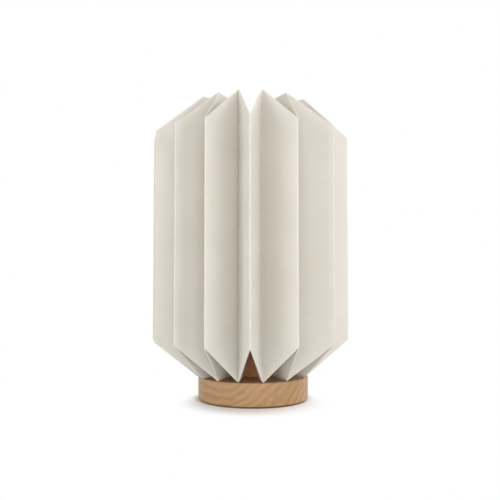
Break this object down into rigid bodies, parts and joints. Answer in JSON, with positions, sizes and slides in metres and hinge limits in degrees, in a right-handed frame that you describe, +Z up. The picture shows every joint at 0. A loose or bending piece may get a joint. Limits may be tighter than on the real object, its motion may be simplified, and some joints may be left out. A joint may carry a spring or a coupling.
{
  "type": "pleated paper table lamp",
  "caption": "Small table lamp: tall ring-shaped shade of upright paper pleats with slanted saw-tooth ends, standing on a round beech base, with a small screw-cap lamp holder and bulb inside.",
  "frame": {"origin": "middle of the foot's underside, on the table", "axes": "+Z up along the stem, -Y towards the front, +X to the right seen from the front"},
  "size_m": [0.1976, 0.1975, 0.3],
  "materials": {
    "beech": "oiled, satin",
    "ivory_paper": "matt",
    "steel_wire": "white powder coat",
    "zinc_steel": "zinc plated",
    "black_plastic": "moulded",
    "white_plastic": "moulded",
    "ceramic_block": "unglazed steatite",
    "brass": "plain",
    "nickel_brass": "nickel plated",
    "opal_plastic": "opal, frosted",
    "dark_glass": "fused insulator",
    "board_aluminium": "white solder mask",
    "foot_foam": "closed-cell foam"
  },
  "bodies": {
    "base": {"foot_pad": "foot_foam", "base_disc": "beech", "cord_bush": "black_plastic", "stem": "beech", "threaded_tube": "zinc_steel", "tube_washer": "zinc_steel", "tube_nut": "zinc_steel", "holder_cap": "white_plastic", "holder_barrel": "white_plastic", "contact_block": "ceramic_block", "screw_shell": "brass", "centre_contact": "brass", "terminals": "brass", "terminal_screws": "zinc_steel", "shade_seat": "white_plastic"},
    "shade": {"shade_sheet_left": "ivory_paper", "shade_sheet_right": "ivory_paper", "upper_ring": "steel_wire", "lower_ring": "steel_wire", "fitter_washer": "steel_wire", "fitter_arms": "steel_wire"},
    "shade_nut": {"shade_nut": "white_plastic"},
    "bulb": {"bulb_tip": "nickel_brass", "bulb_insulator": "dark_glass", "bulb_cap": "nickel_brass", "bulb_collar": "white_plastic", "bulb_envelope": "opal_plastic", "led_board": "board_aluminium"}
  },
  "joints": [
    {"name": "shade_lift", "type": "slide", "parent": "base", "child": "shade", "axis": [0, 0, 1], "range_m": [0, 0.17]},
    {"name": "shade_nut_turn", "type": "hinge", "parent": "shade", "child": "shade_nut", "pos_m": [0, 0, 0.097], "axis": [0, 0, 1], "range_deg": [0, 2160]},
    {"name": "bulb_turn", "type": "hinge", "parent": "base", "child": "bulb", "pos_m": [0, 0, 0.096], "axis": [0, 0, 1], "range_deg": [0, 1800]}
  ]
}
